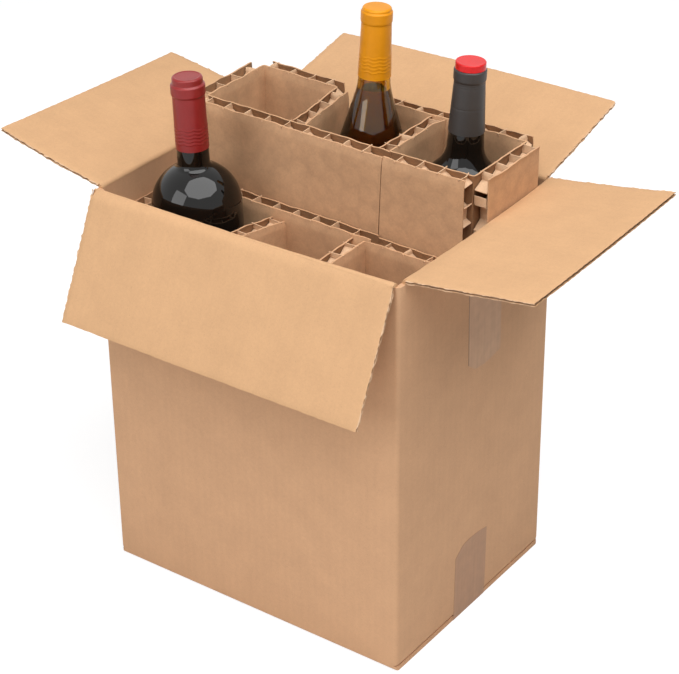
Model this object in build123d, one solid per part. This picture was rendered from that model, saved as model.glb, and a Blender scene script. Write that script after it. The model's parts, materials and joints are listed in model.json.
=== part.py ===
from build123d import *
from math import atan, degrees, sqrt
import os

# Bottle shipping box: a regular slotted carton of corrugated board that stands open,
# with two three-cell inserts of honeycomb board and three bottles pulled up in their cells.
# The origin is the centre of the carton's base, X runs along its front and Y to its back.

# Bottles
red_height = 301.0
green_height = 296.3
black_height = 299.8
red_diameter = 74.5
green_diameter = 71.0
black_diameter = 70.0
punt_depth = 18.0
punt_radius = 24.0
heel_round = 6.0

# Capsules over the necks, and the coloured disc that closes the black one and laps down over its lip
foil = 0.4
foil_gap = 0.1
red_capsule_length = 60.5
green_capsule_length = 58.0
black_capsule_length = 58.0
disc_stand = 0.25
disc_lap = 5.2

# Shouldered bottles, with a straight body and a short round shoulder. The neck runs on below the
# capsule, and the shoulder drops from the neck's foot.
red_neck_below = 13.5
black_neck_below = 17.5
shoulder_drop = 24.0
shoulder_round = 29.0
shoulder_neck_round = 16.0

# Sloping bottle, whose body runs into its neck in one long curve
green_neck_below = 9.7
slope_drop = 75.5
slope_round = 60.0
slope_neck_round = 63.0

# Necks, which narrow from foot to ring. Each ring stands some way below its bottle's top.
neck_radius = 13.3
red_neck_top = 12.7
green_neck_top = 11.8
black_neck_top = 12.0
red_ring = 13.6
green_ring = 12.4
black_ring = 12.7
red_ring_drop = 6.2
green_ring_drop = 3.1
black_ring_drop = 6.0
ring_height = 8.4
red_lip = 12.0
green_lip = 11.4
black_lip = 11.5
lip_round = 1.5

# Inside of the sloping bottle, which is clear enough to be seen into
glass_wall = 3.0
neck_wall = 3.9
cork_length = 45.0
fill_drop = 68.3
liquid_gap = 0.1

# Honeycomb board of the inserts
core_board = 13.0
liner_thick = 1.0
honeycomb = 20.0
cell_wall = 1.0
shallowest_pocket = 2.0

# Cells of the inserts: play round the widest bottle, and how far each divider stands off centre
cell_play_x = 4.0
cell_play_y = 1.5
front_first_shift = 4.5
front_second_shift = 1.2
rear_first_shift = -3.1
rear_second_shift = 1.7
insert_height = 322.0
rear_lift = 64.5
rear_short_end = 18.0

# Clearances between pieces that only rest against each other
fit_gap = 0.25
front_gap = 5.5
middle_gap = 3.4

# Carton board, and the height of its top creases
board = 4.0
carton_height = 357.5
corner_round = 3.0
crease_round = 2.6
crease_gap = 0.3
seam_gap = 1.0
score_width = 0.8
joint_tab_width = 35.0
joint_tab_thick = 1.8
joint_tab_inset = 14.0

# Top flaps: how far each stands open from upright, and what a corner slot takes off its end
front_open = 154.9
right_open = 82.6
back_open = 77.5
left_open = 82.6
front_slot_right = 3.5
right_slot_front = 8.8
right_slot_back = 1.5
back_slot_right = 5.4
back_slot_left = 9.6
left_slot_front = 8.0

# Sealing tape
tape_width = 48.0
tape_thick = 0.2
tape_shift = -3.0
tape_wrap = 65.0
tape_end_rise = 3.0
tail_shift = 8.8
tail_length = 116.0
tail_drop = 2.0

# Where each bottle's base stands above the floor of the carton, and its share of full lean
red_lift = 138.0
green_lift = 188.4
black_lift = 159.8
red_lean = (-1.0, 0.0)
green_lean = (0.35, 1.0)
black_lean = (1.0, 1.0)

# Sizes that follow from the ones above
bore_radius = neck_radius - neck_wall
widest = max(red_diameter, green_diameter, black_diameter)
cell_width = widest + cell_play_x
cell_depth = widest + cell_play_y
front_cells = (
    cell_width + front_first_shift,
    cell_width - front_first_shift + front_second_shift,
    cell_width - front_second_shift,
)
rear_cells = (
    cell_width + rear_first_shift,
    cell_width - rear_first_shift + rear_second_shift,
    cell_width - rear_second_shift,
)
insert_length = 4 * core_board + 3 * cell_width
insert_depth = 2 * core_board + cell_depth
inside_length = insert_length + 2 * fit_gap
inside_width = front_gap + 2 * insert_depth + middle_gap + fit_gap + joint_tab_thick
carton_length = inside_length + 2 * board
carton_width = inside_width + 2 * board
floor = 2 * board
flap_depth = carton_width / 2
insert_left = -insert_length / 2
front_insert_y = -inside_width / 2 + front_gap
rear_insert_y = front_insert_y + insert_depth + middle_gap


def block(low, high):
    """A box from its lowest corner to its highest."""
    size = [top - bottom for bottom, top in zip(low, high)]
    return Pos(*low) * Box(*size, align=(Align.MIN, Align.MIN, Align.MIN))


# Carton


def carton_walls():
    """The four walls as one folded tube, with rounded upright corners."""
    outside = RectangleRounded(carton_length, carton_width, corner_round)
    inside = Rectangle(inside_length, inside_width)
    return extrude(outside - inside, carton_height)


def round_folds(walls):
    """Round the long bottom folds outside, and the creases along the rim inside."""
    at_base = walls.edges().filter_by(Axis.X).group_by(Axis.Z)[0].sort_by(Axis.Y)
    walls = fillet([at_base[0], at_base[-1]], corner_round)
    rim = walls.faces().sort_by(Axis.Z)[-1]
    return fillet(rim.inner_wires()[0].edges(), crease_round)


def bottom_flaps():
    """Side flaps folded in on top of the front and back flaps, which meet at the middle seam."""
    half_length = inside_length / 2
    half_width = inside_width / 2
    reach = carton_width / 2
    flaps = []
    for side in (-1, 1):
        seam = side * seam_gap / 2
        wall = side * half_width
        flaps.append(block((-half_length, min(seam, wall), 0), (half_length, max(seam, wall), board)))
        fold = side * half_length
        edge = side * (carton_length / 2 - reach)
        flaps.append(block((min(fold, edge), -half_width, board), (max(fold, edge), half_width, floor)))
    return flaps


def joint_tab():
    """The glued tab that closes the tube, pressed flat inside the back wall's left end."""
    left = -inside_length / 2
    back = inside_width / 2
    low = (left, back - joint_tab_thick, joint_tab_inset)
    high = (left + joint_tab_width, back, carton_height - joint_tab_inset)
    return block(low, high)


def score_lines():
    """Shallow lines where board meets board: over the bottom flaps' ends, and down the joint."""
    lines = []
    half_length = carton_length / 2
    for side in (-1, 1):
        x = side * half_length
        low = (x - score_width, -inside_width / 2, board)
        high = (x + score_width, inside_width / 2, board + score_width)
        lines.append(block(low, high))
    back = inside_width / 2
    low = (-half_length - score_width, back - score_width / 2, floor)
    high = (-half_length + score_width, back + score_width / 2, carton_height)
    lines.append(block(low, high))
    return lines


def tape_bed():
    """The tape is pressed flush into the board under the carton."""
    half_length = carton_length / 2 + tape_thick
    y = tape_shift
    return block((-half_length, y - tape_width / 2, 0), (half_length, y + tape_width / 2, tape_thick))


def carton_body():
    """Walls, folded bottom flaps and glued joint, all one sheet of board."""
    body = round_folds(carton_walls())
    body = body + bottom_flaps() + joint_tab()
    seam = block((-carton_length, -seam_gap / 2, -board), (carton_length, seam_gap / 2, board))
    return body - seam - score_lines() - tape_bed()


def top_flap(run, start_slot, end_slot):
    """A flap standing upright on its crease: X along the crease, Y inwards from the outer face."""
    low = (-run / 2 + start_slot, 0, crease_gap)
    high = (run / 2 - end_slot, board, flap_depth)
    flap = block(low, high)
    root = flap.edges().filter_by(Axis.X).sort_by(Axis.Z)[:2].sort_by(Axis.Y)[-1]
    return fillet(root, crease_round)


def open_flap(flap, outwards, distance, opening):
    """Swing a flap out about the outer edge of its wall's rim."""
    crease = Plane(
        origin=Vector(*outwards, 0) * distance + Vector(0, 0, carton_height),
        x_dir=(-outwards[1], outwards[0], 0),
        z_dir=(0, 0, 1),
    )
    return crease.location * Rot(X=opening) * flap


def top_flaps():
    """Two long flaps over front and back, and two side flaps, parted by a slot at each corner."""
    half_length = carton_length / 2
    half_width = carton_width / 2
    front = top_flap(carton_length, 0, front_slot_right)
    right = top_flap(carton_width, right_slot_front, right_slot_back)
    back = top_flap(carton_length, back_slot_right, back_slot_left)
    left = top_flap(carton_width, 0, left_slot_front)
    return {
        "front_flap": open_flap(front, (0, -1), half_width, front_open),
        "right_flap": open_flap(right, (1, 0), half_length, right_open),
        "back_flap": open_flap(back, (0, 1), half_width, back_open),
        "left_flap": open_flap(left, (-1, 0), half_length, left_open),
    }


# Tape


def tape_end(side, low, high, centre):
    """A tape end on a side wall, torn off in a shallow curve at its free edge."""
    left = centre - tape_width / 2
    right = centre + tape_width / 2
    rise = tape_end_rise if high > low else -tape_end_rise
    edges = [
        Line((left, low), (right, low)),
        Line((right, low), (right, high)),
        ThreePointArc((right, high), (centre, high + rise), (left, high)),
        Line((left, high), (left, low)),
    ]
    face = Plane.YZ * make_face(edges)
    strip = extrude(face, tape_thick)
    if side > 0:
        return Pos(carton_length / 2, 0, 0) * strip
    return Pos(-carton_length / 2 - tape_thick, 0, 0) * strip


def bottom_tape():
    """One strip along the bottom seam, with its ends turned up on both side walls."""
    under = tape_bed()
    ends = [tape_end(side, 0, tape_wrap, tape_shift) for side in (-1, 1)]
    return under + ends


def top_tape_tail():
    """The end of the slit top tape, still stuck down the right wall."""
    top = carton_height - tail_drop
    return tape_end(1, top, top - tail_length, tail_shift)


# Honeycomb inserts


def honeycomb_panel(run, open_start=False, open_end=False):
    """A cut panel of two liners and a cell core, from 0 to run in X and 0 to core_board in Y.

    Cells that a cut edge goes through are open pockets between the liners. The cells are
    fitted evenly, so that a row is halved at the top and bottom edges.
    """
    halves = round(2 * run / honeycomb)
    pitch = 2 * run / halves
    rows = round(insert_height / (honeycomb * sqrt(3) / 2))
    row_pitch = insert_height / rows
    side = row_pitch / 1.5
    half_width = (pitch - cell_wall) / 2
    shrink = 1 - cell_wall / pitch
    outline = [
        (-half_width, -shrink * side / 2),
        (0, -shrink * side),
        (half_width, -shrink * side / 2),
        (half_width, shrink * side / 2),
        (0, shrink * side),
        (-half_width, shrink * side / 2),
    ]
    cell = make_face(Polyline(*outline, close=True))
    core_face = Plane(origin=(0, core_board - liner_thick, 0), x_dir=(1, 0, 0), z_dir=(0, -1, 0))
    prism = extrude(core_face * cell, core_board - 2 * liner_thick)
    pockets = []
    for row in range(rows + 1):
        z = row * row_pitch
        first = pitch / 4 if row % 2 == 0 else -pitch / 4
        at_edge = row in (0, rows)
        for step in range(halves):
            x = first + step * pitch
            inside = x + half_width > shallowest_pocket and x - half_width < run - shallowest_pocket
            through_start = open_start and x - half_width < 0
            through_end = open_end and x + half_width > run
            if inside and (at_edge or through_start or through_end):
                pockets.append(Pos(x, 0, z) * prism)
    return block((0, 0, 0), (run, core_board, insert_height)) - pockets


def liner_fold(x, y, step_x, step_y):
    """The inner liner running round a fold corner at x, y, outside the cell."""
    reach_x = x + step_x * liner_thick
    back_x = x - step_x * fit_gap
    reach_y = y + step_y * liner_thick
    back_y = y - step_y * fit_gap
    low = (min(reach_x, back_x), min(reach_y, back_y), 0)
    high = (max(reach_x, back_x), max(reach_y, back_y), insert_height)
    return block(low, high)


def folded_strip(first, second, short_end=0.0):
    """One scored and folded strip: a long panel over two cells, a side, a one-cell panel, a divider.

    It lies in the insert's own frame, whose origin is the insert's left front bottom corner.
    The outer liner and core are cut through at each fold, and the inner liner is the hinge.
    """
    near = core_board
    far = core_board + cell_depth
    divider_x = core_board + first
    long_run = 2 * core_board + first + second - liner_thick - 3 * fit_gap - short_end
    side_run = cell_depth - 2 * fit_gap
    back_run = first - 2 * fit_gap
    long_panel = Pos(near + fit_gap, 0, 0) * honeycomb_panel(long_run, open_start=True)
    side_panel = honeycomb_panel(side_run, open_start=True, open_end=True)
    side_panel = Pos(core_board, near + fit_gap, 0) * Rot(Z=90) * side_panel
    back_panel = Pos(near + fit_gap, far, 0) * honeycomb_panel(back_run, open_start=True)
    divider = Pos(divider_x + core_board, near + fit_gap, 0) * Rot(Z=90) * honeycomb_panel(side_run)
    folds = [
        liner_fold(near, near, -1, -1),
        liner_fold(near, far, -1, 1),
        liner_fold(divider_x, far, 1, 1),
    ]
    return long_panel + [side_panel, back_panel, divider] + folds


def turned(strip):
    """The second strip of an insert: the first turned half round about the insert's centre."""
    return Pos(insert_length, insert_depth, 0) * Rot(Z=180) * strip


def mirrored(strip):
    """The front insert's strips, with their long panels on the other side."""
    return Pos(0, insert_depth, 0) * mirror(strip, about=Plane.XZ)


def inserts():
    """Two inserts of two strips each: the front one on the floor, the rear one pulled up."""
    front = Pos(insert_left, front_insert_y, floor)
    rear = Pos(insert_left, rear_insert_y, floor + rear_lift)
    first, second, third = front_cells
    front_left = mirrored(folded_strip(first, second))
    front_right = mirrored(turned(folded_strip(third, second)))
    first, second, third = rear_cells
    rear_left = folded_strip(first, second)
    rear_right = turned(folded_strip(third, second, rear_short_end))
    return {
        "front_insert_left": front * front_left,
        "front_insert_right": front * front_right,
        "rear_insert_left": rear * rear_left,
        "rear_insert_right": rear * rear_right,
    }


# Bottles


class Neck:
    """The upper end of a bottle: where its neck and body start, its finish, and where its capsule ends."""

    def __init__(self, height, capsule_length, below, drop):
        self.height = height
        self.capsule_low = height - capsule_length
        self.foot = self.capsule_low - below
        self.shoulder = self.foot - drop

    def finish(self, narrow, ring, ring_drop, lip):
        """The neck's radius below the ring, the ring and the lip."""
        self.narrow = narrow
        self.ring = ring
        self.ring_top = self.height - ring_drop
        self.ring_low = self.ring_top - ring_height
        self.lip = lip
        return self

    def radius_at(self, height):
        """The narrowing neck's radius between its foot and the ring."""
        share = (height - self.foot) / (self.ring_low - self.foot)
        return neck_radius + (self.narrow - neck_radius) * share

    def points(self, grow):
        """The outline from below the ring to the top, grown outwards by a small amount."""
        return [
            (self.narrow + grow, self.ring_low - grow),
            (self.ring + grow, self.ring_low - grow),
            (self.ring + grow, self.ring_top + grow),
            (self.lip + grow, self.ring_top + grow),
            (self.lip + grow, self.height + grow),
            (0, self.height + grow),
        ]

    def lip_corner(self, grow):
        """The rounded top corner of the lip, or of a skin that lies over it."""
        return (self.lip + grow, self.height + grow, lip_round + grow)


red_neck = Neck(red_height, red_capsule_length, red_neck_below, shoulder_drop)
red_neck.finish(red_neck_top, red_ring, red_ring_drop, red_lip)
green_neck = Neck(green_height, green_capsule_length, green_neck_below, slope_drop)
green_neck.finish(green_neck_top, green_ring, green_ring_drop, green_lip)
black_neck = Neck(black_height, black_capsule_length, black_neck_below, shoulder_drop)
black_neck.finish(black_neck_top, black_ring, black_ring_drop, black_lip)


def rounded_outline(points, rounds):
    """A closed outline of radius and height, with an arc at each named corner."""
    face = make_face(Polyline(*points, close=True))
    for x, y, arc in rounds:
        corner = face.vertices().sort_by_distance((x, y, 0))[0]
        face = fillet(corner, arc)
    return face


def turned_solid(face):
    """A solid turned about Z from an outline of radius and height."""
    return revolve(Plane.XZ * face, Axis.Z)


def bottle_outline(diameter, neck, shoulder_arc, neck_arc):
    """Half section of a bottle, with arcs at its heel, shoulder, neck and lip."""
    radius = diameter / 2
    points = [(0, 0), (radius, 0), (radius, neck.shoulder), (neck_radius, neck.foot)]
    rounds = [
        (radius, 0, heel_round),
        (radius, neck.shoulder, shoulder_arc),
        (neck_radius, neck.foot, neck_arc),
        neck.lip_corner(0),
    ]
    return rounded_outline(points + neck.points(0), rounds)


def punt():
    """The round hollow pushed up into the base."""
    sphere_radius = (punt_radius**2 + punt_depth**2) / (2 * punt_depth)
    return Pos(0, 0, punt_depth - sphere_radius) * Sphere(sphere_radius)


def shouldered_bottle(diameter, neck):
    """A dark bottle that can't be seen into, so its glass and its wine are one solid."""
    return turned_solid(bottle_outline(diameter, neck, shoulder_round, shoulder_neck_round)) - punt()


def sloping_cavity(grow):
    """The space inside the sloping bottle, up to its mouth, made smaller by a gap."""
    radius = green_diameter / 2 - glass_wall - grow
    bore = bore_radius - grow
    bottom = punt_depth + glass_wall + grow
    slope = green_neck.shoulder - glass_wall
    mouth = green_height + foil
    points = [(0, bottom), (radius, bottom), (radius, slope), (bore, green_neck.foot),
              (bore, mouth), (0, mouth)]
    rounds = [
        (radius, bottom, heel_round),
        (radius, slope, slope_round),
        (bore, green_neck.foot, slope_neck_round),
    ]
    return turned_solid(rounded_outline(points, rounds))


def sloping_glass():
    """Clear green glass with a wall all round and an open mouth for the cork."""
    outline = bottle_outline(green_diameter, green_neck, slope_round, slope_neck_round)
    return turned_solid(outline) - punt() - sloping_cavity(0)


def sloping_wine():
    """The wine, up to its level in the neck."""
    level = green_height - fill_drop
    below = block((-green_diameter, -green_diameter, 0), (green_diameter, green_diameter, level))
    return sloping_cavity(liquid_gap) & below


def cork():
    """A straight cork, driven in flush with the mouth."""
    radius = bore_radius - liquid_gap
    return Pos(0, 0, green_height - cork_length) * extrude(Circle(radius), cork_length)


def neck_skin(neck, grow):
    """The neck as a solid down to the capsule's lower edge, grown outwards by a small amount."""
    low = neck.capsule_low
    points = [(0, low), (neck.radius_at(low) + grow, low)] + neck.points(grow)
    return turned_solid(rounded_outline(points, [neck.lip_corner(grow)]))


def capsule(neck, stand=0.0):
    """A thin capsule shrunk over the lip, ring and neck."""
    return neck_skin(neck, foil_gap + foil + stand) - neck_skin(neck, foil_gap)


def above(neck, low):
    """The space round a neck over some height, wide enough for its capsule."""
    reach = neck_radius + 2 * foil
    return block((-reach, -reach, low), (reach, reach, neck.height + 4 * foil))


def open_capsule(neck):
    """The black capsule's sleeve, which ends under the disc's lap."""
    return capsule(neck) - above(neck, neck.height - disc_lap)


def capsule_disc(neck):
    """The coloured disc, which closes the sleeve and laps down over the lip."""
    return capsule(neck, disc_stand) & above(neck, neck.height - disc_lap + foil_gap)


def lean_in_cell(cell_size, diameter, straight, share):
    """Offset of the base from the cell's middle, and the lean in degrees.

    The straight body rests against the wall that it leans to, and at full share its heel
    stands against the opposite wall.
    """
    play = cell_size - diameter - 2 * fit_gap
    side = (share > 0) - (share < 0)
    offset = side * play / 2 - share * play
    return offset, degrees(atan(share * play / straight))


def bottle_place(left, cell_size, insert_y, lift, diameter, straight, lean):
    """Where a bottle's base stands in its cell, with the lean that its play allows."""
    offset_x, lean_x = lean_in_cell(cell_size, diameter, straight, lean[0])
    offset_y, lean_y = lean_in_cell(cell_depth, diameter, straight, lean[1])
    x = left + cell_size / 2 + offset_x
    y = insert_y + core_board + cell_depth / 2 + offset_y
    return Pos(x, y, floor + lift) * Rot(X=-lean_y, Y=lean_x)


def bottles():
    """The red one in the front row, and the green and the black one in the rear row."""
    front_left = insert_left + core_board
    rear_middle = insert_left + 2 * core_board + rear_cells[0]
    rear_right = insert_left + 3 * core_board + rear_cells[0] + rear_cells[1]
    red = bottle_place(front_left, front_cells[0], front_insert_y,
                       red_lift, red_diameter, red_neck.shoulder, red_lean)
    green = bottle_place(rear_middle, rear_cells[1], rear_insert_y,
                         green_lift, green_diameter, green_neck.shoulder, green_lean)
    black = bottle_place(rear_right, rear_cells[2], rear_insert_y,
                         black_lift, black_diameter, black_neck.shoulder, black_lean)
    return {
        "red_bottle": red * shouldered_bottle(red_diameter, red_neck),
        "red_capsule": red * capsule(red_neck),
        "green_bottle_glass": green * sloping_glass(),
        "green_bottle_wine": green * sloping_wine(),
        "green_bottle_cork": green * cork(),
        "yellow_capsule": green * capsule(green_neck),
        "black_bottle": black * shouldered_bottle(black_diameter, black_neck),
        "black_capsule": black * open_capsule(black_neck),
        "black_capsule_disc": black * capsule_disc(black_neck),
    }


pieces = {"carton_body": carton_body()}
pieces.update(top_flaps())
pieces["bottom_tape"] = bottom_tape()
pieces["top_tape_tail"] = top_tape_tail()
pieces.update(inserts())
pieces.update(bottles())

os.makedirs("parts", exist_ok=True)
for node, shape in pieces.items():
    export_step(shape, f"parts/{node}.step")
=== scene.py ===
import json
import math
import random

import bmesh
import bpy
from mathutils import Matrix, Vector, noise


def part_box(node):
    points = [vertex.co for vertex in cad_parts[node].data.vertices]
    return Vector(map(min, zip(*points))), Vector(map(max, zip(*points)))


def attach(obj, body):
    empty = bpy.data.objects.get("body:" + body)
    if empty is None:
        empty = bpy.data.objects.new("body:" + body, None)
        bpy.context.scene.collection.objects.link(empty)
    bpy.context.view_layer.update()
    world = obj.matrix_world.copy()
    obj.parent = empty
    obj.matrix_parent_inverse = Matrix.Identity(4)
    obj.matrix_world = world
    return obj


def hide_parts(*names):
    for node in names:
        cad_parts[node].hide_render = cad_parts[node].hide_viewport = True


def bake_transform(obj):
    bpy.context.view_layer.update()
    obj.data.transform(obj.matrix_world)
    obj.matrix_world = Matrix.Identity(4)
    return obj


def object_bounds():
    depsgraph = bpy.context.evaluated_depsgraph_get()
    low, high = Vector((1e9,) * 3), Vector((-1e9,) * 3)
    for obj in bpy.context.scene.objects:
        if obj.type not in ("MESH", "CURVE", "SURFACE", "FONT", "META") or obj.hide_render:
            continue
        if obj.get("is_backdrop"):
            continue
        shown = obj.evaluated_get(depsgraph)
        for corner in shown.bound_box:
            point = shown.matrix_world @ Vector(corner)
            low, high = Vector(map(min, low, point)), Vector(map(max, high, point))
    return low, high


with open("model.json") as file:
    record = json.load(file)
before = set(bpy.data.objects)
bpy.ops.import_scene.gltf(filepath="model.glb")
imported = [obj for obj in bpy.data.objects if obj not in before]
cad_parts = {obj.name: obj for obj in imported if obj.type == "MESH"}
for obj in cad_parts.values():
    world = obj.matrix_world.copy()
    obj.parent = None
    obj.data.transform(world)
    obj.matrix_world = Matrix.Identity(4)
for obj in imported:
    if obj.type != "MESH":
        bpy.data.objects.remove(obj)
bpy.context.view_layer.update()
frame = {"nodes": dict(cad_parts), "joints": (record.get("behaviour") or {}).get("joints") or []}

# Camera, floor and light
# The carton stands on a plain pale floor in soft studio light, mostly from above and from the left.
# The camera stands where the photograph's did, which was worked out from the carton's corners.

camera_place = Vector((0.9164, -1.2481, 1.1060))
camera_azimuth = 35.902
camera_elevation = 29.899
camera_roll = -0.590
camera_lens = 112.58
light_target = Vector((0, 0, 0.25))
ambient_strength = 0.05
floor_size = 8.0
floor_drop = 0.0004
floor_shade = 0.34
floor_glow = 0.80


def aim(azimuth, elevation, roll=0.0):
    """The turn of something that looks along its own -Z, as a matrix."""
    across, above, tip = (math.radians(angle) for angle in (azimuth, elevation, roll))
    flat = math.cos(above)
    back = Vector((math.sin(across) * flat, -math.cos(across) * flat, math.sin(above)))
    level = Vector((math.cos(across), math.sin(across), 0))
    right = level * math.cos(tip) + back.cross(level) * math.sin(tip)
    return Matrix((right, back.cross(right), back)).transposed().to_4x4()


def lamp(name, azimuth, elevation, distance, size, power):
    """A soft box that faces the carton from the given side."""
    light = bpy.data.lights.new(name, "AREA")
    light.shape = "RECTANGLE"
    light.size, light.size_y = size
    light.energy = power
    lit = bpy.data.objects.new(name, light)
    turn = aim(azimuth, elevation)
    lit.matrix_world = Matrix.Translation(light_target + turn.col[2].to_3d() * distance) @ turn
    bpy.context.scene.collection.objects.link(lit)
    return light


def node(tree, kind, inputs=None, **settings):
    """Adds a shader node, with its settings and with what goes into its sockets."""
    made = tree.nodes.new(kind)
    for setting, value in settings.items():
        setattr(made, setting, value)
    for socket, value in (inputs or {}).items():
        if isinstance(value, bpy.types.NodeSocket):
            tree.links.new(value, made.inputs[socket])
        else:
            made.inputs[socket].default_value = value
    return made


def reckon(tree, operation, *values):
    """A number that a shader works out from up to three others."""
    return node(tree, "ShaderNodeMath", dict(enumerate(values)), operation=operation).outputs[0]


def seen_directly(tree):
    """1 for what the camera sees, straight or in a reflection or through glass."""
    path = node(tree, "ShaderNodeLightPath")
    either = reckon(tree, "MAXIMUM", path.outputs["Is Camera Ray"], path.outputs["Is Glossy Ray"])
    return reckon(tree, "MAXIMUM", either, path.outputs["Is Transmission Ray"])


camera = bpy.data.objects.new("camera", bpy.data.cameras.new("camera"))
camera.data.lens = camera_lens
camera.data.sensor_width = 36.0
camera.matrix_world = Matrix.Translation(camera_place) @ aim(camera_azimuth, camera_elevation, camera_roll)
bpy.context.scene.collection.objects.link(camera)
bpy.context.scene.camera = camera
bpy.context.scene.view_settings.view_transform = "Standard"

lamp("box_left", -16, 27, 2.6, (1.5, 1.7), 26.0)
octagon = lamp("octagon_above", 62, 67, 2.3, (3.4, 2.4), 106.0)

# The lamp's four corners are cut off, so that the bottles reflect an octagon.
octagon.use_nodes = True
tree = octagon.node_tree
spread = node(tree, "ShaderNodeVectorMath", {0: node(tree, "ShaderNodeNewGeometry").outputs["Parametric"],
                                             1: (0.5, 0.5, 0.0)}, operation="SUBTRACT")
spread = node(tree, "ShaderNodeVectorMath", {0: spread.outputs[0]}, operation="ABSOLUTE")
parts = node(tree, "ShaderNodeSeparateXYZ", {0: spread.outputs[0]})
from_middle = reckon(tree, "ADD", parts.outputs[0], parts.outputs[1])
within = reckon(tree, "LESS_THAN", from_middle, math.sqrt(0.5))
tree.links.new(within, tree.nodes["Emission"].inputs["Strength"])

world = bpy.data.worlds.new("studio")
world.use_nodes = True
bpy.context.scene.world = world
tree = world.node_tree
tree.nodes.clear()
ambient = node(tree, "ShaderNodeBackground", {"Color": (1, 0.985, 0.97, 1), "Strength": ambient_strength})
backdrop = node(tree, "ShaderNodeBackground", {"Color": (1, 1, 1, 1), "Strength": 1.0})
sky = node(tree, "ShaderNodeMixShader", {0: seen_directly(tree), 1: ambient.outputs[0], 2: backdrop.outputs[0]})
node(tree, "ShaderNodeOutputWorld", {"Surface": sky.outputs[0]})

floor_mesh = bpy.data.meshes.new("floor")
reach = floor_size / 2
floor_mesh.from_pydata([(-reach, -reach, 0), (reach, -reach, 0), (reach, reach, 0), (-reach, reach, 0)], [],
                       [(0, 1, 2, 3)])
floor = bpy.data.objects.new("floor", floor_mesh)
bpy.context.scene.collection.objects.link(floor)
floor.location.z = -floor_drop
floor_paint = bpy.data.materials.new("pale_floor")
floor_paint.use_nodes = True
tree = floor_paint.node_tree
tree.nodes.clear()
plain = node(tree, "ShaderNodeBsdfDiffuse", {"Color": (0.80, 0.79, 0.78, 1)})
shaded = node(tree, "ShaderNodeBsdfDiffuse", {"Color": (floor_shade, floor_shade, floor_shade, 1)})
glow = node(tree, "ShaderNodeEmission", {"Color": (1, 1, 1, 1), "Strength": floor_glow})
white = node(tree, "ShaderNodeAddShader", {0: shaded.outputs[0], 1: glow.outputs[0]})
mixed = node(tree, "ShaderNodeMixShader", {0: seen_directly(tree), 1: plain.outputs[0], 2: white.outputs[0]})
node(tree, "ShaderNodeOutputMaterial", {"Surface": mixed.outputs[0]})
floor_mesh.materials.append(floor_paint)
floor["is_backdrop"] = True

# Carton walls and closed bottom
# One sheet of corrugated kraft board, scored and folded into a tube and glued at the back left corner. Its
# bottom flaps are folded shut, the side pair inside the long pair, which meet along the middle seam.

MM = 0.001
board = 4.0
paper = 0.45
flute_pitch = 7.6
corner_outer = 3.4
corner_inner = 0.8
corner_steps = 6
foot_rows = [3.0, 4.3, 4.6, 5.2, 6.2, 7.4]
wall_step = 5.0
board_step = 12.0
fold_round = 3.0
crushed_crease = 1.0
bulge_reach = 14.0
wall_bulge = {"front": 1.3, "right": 1.7, "back": 1.2, "left": 1.5}
half_length, half_width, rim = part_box("carton_body")[1] / MM
body_colour = (0.600, 0.352, 0.200)
tab_width = 35.0
tab_thick = 1.8
tab_short = 14.0
base_lift = 0.15
base_seam = 0.5


class Shell:
    """Gathers the thin closed sheets of one piece, in millimetres, each with its place on the flat board."""

    def __init__(self):
        self.corners = []
        self.faces = []
        self.marks = []
        self.spots = []

    def sheet(self, front, back, mark=0, closed=False, front_mark=None):
        """A closed sheet between two grids of (point, (run, climb)), its front with a finish of its own if wanted."""
        rows, columns = len(front), len(front[0])
        first = len(self.corners)
        for grid in (front, back):
            for line in grid:
                for point, spot in line:
                    self.corners.append(Vector(point) * MM)
                    self.spots.append((spot[0] * MM, spot[1] * MM))
        far = rows * columns

        def at(row, column, side=0):
            return first + side * far + (row % rows) * columns + column

        steps = range(rows if closed else rows - 1)
        for row in steps:
            for column in range(columns - 1):
                for side in (0, 1):
                    ring = [at(row, column, side), at(row + 1, column, side), at(row + 1, column + 1, side),
                            at(row, column + 1, side)]
                    self.face(ring if side else ring[::-1], mark if side or front_mark is None else front_mark)
            for column in (0, columns - 1):
                ring = [at(row, column), at(row + 1, column), at(row + 1, column, 1), at(row, column, 1)]
                self.face(ring if column else ring[::-1], mark)
        if not closed:
            for row in (0, rows - 1):
                for column in range(columns - 1):
                    ring = [at(row, column), at(row, column + 1), at(row, column + 1, 1), at(row, column, 1)]
                    self.face(ring[::-1] if row else ring, mark)

    def face(self, ring, mark):
        self.faces.append(ring)
        self.marks.append(mark)

    def piece(self, name, body, finishes, replaced=(), sharp=35.0):
        """Makes the object, gives it its finishes and lets it ride on its body."""
        mesh = bpy.data.meshes.new(name)
        mesh.from_pydata(self.corners, [], self.faces)
        flat = mesh.uv_layers.new(name="flat_board")
        for loop in mesh.loops:
            flat.data[loop.index].uv = self.spots[loop.vertex_index]
        for finish in finishes:
            mesh.materials.append(finish)
        mesh.polygons.foreach_set("material_index", self.marks)
        tidy = bmesh.new()
        tidy.from_mesh(mesh)
        bmesh.ops.recalc_face_normals(tidy, faces=tidy.faces)
        tidy.to_mesh(mesh)
        tidy.free()
        mesh.shade_smooth()
        mesh.set_sharp_from_angle(angle=math.radians(sharp))
        made = bpy.data.objects.new(name, mesh)
        bpy.context.scene.collection.objects.link(made)
        if body:
            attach(made, body)
        if replaced:
            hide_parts(*replaced)
        return made


def ripple(x, y, z, size, seed=0.0):
    """Smooth noise from -1 to 1 with lumps of the given size."""
    return noise.noise(Vector((x / size + seed, y / size - seed, z / size + 2.7 * seed)))


def steps_between(low, high, step):
    """Evenly spaced numbers from low to high, no further apart than the step."""
    count = max(1, math.ceil((high - low) / step))
    return [low + (high - low) * index / count for index in range(count + 1)]


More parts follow.
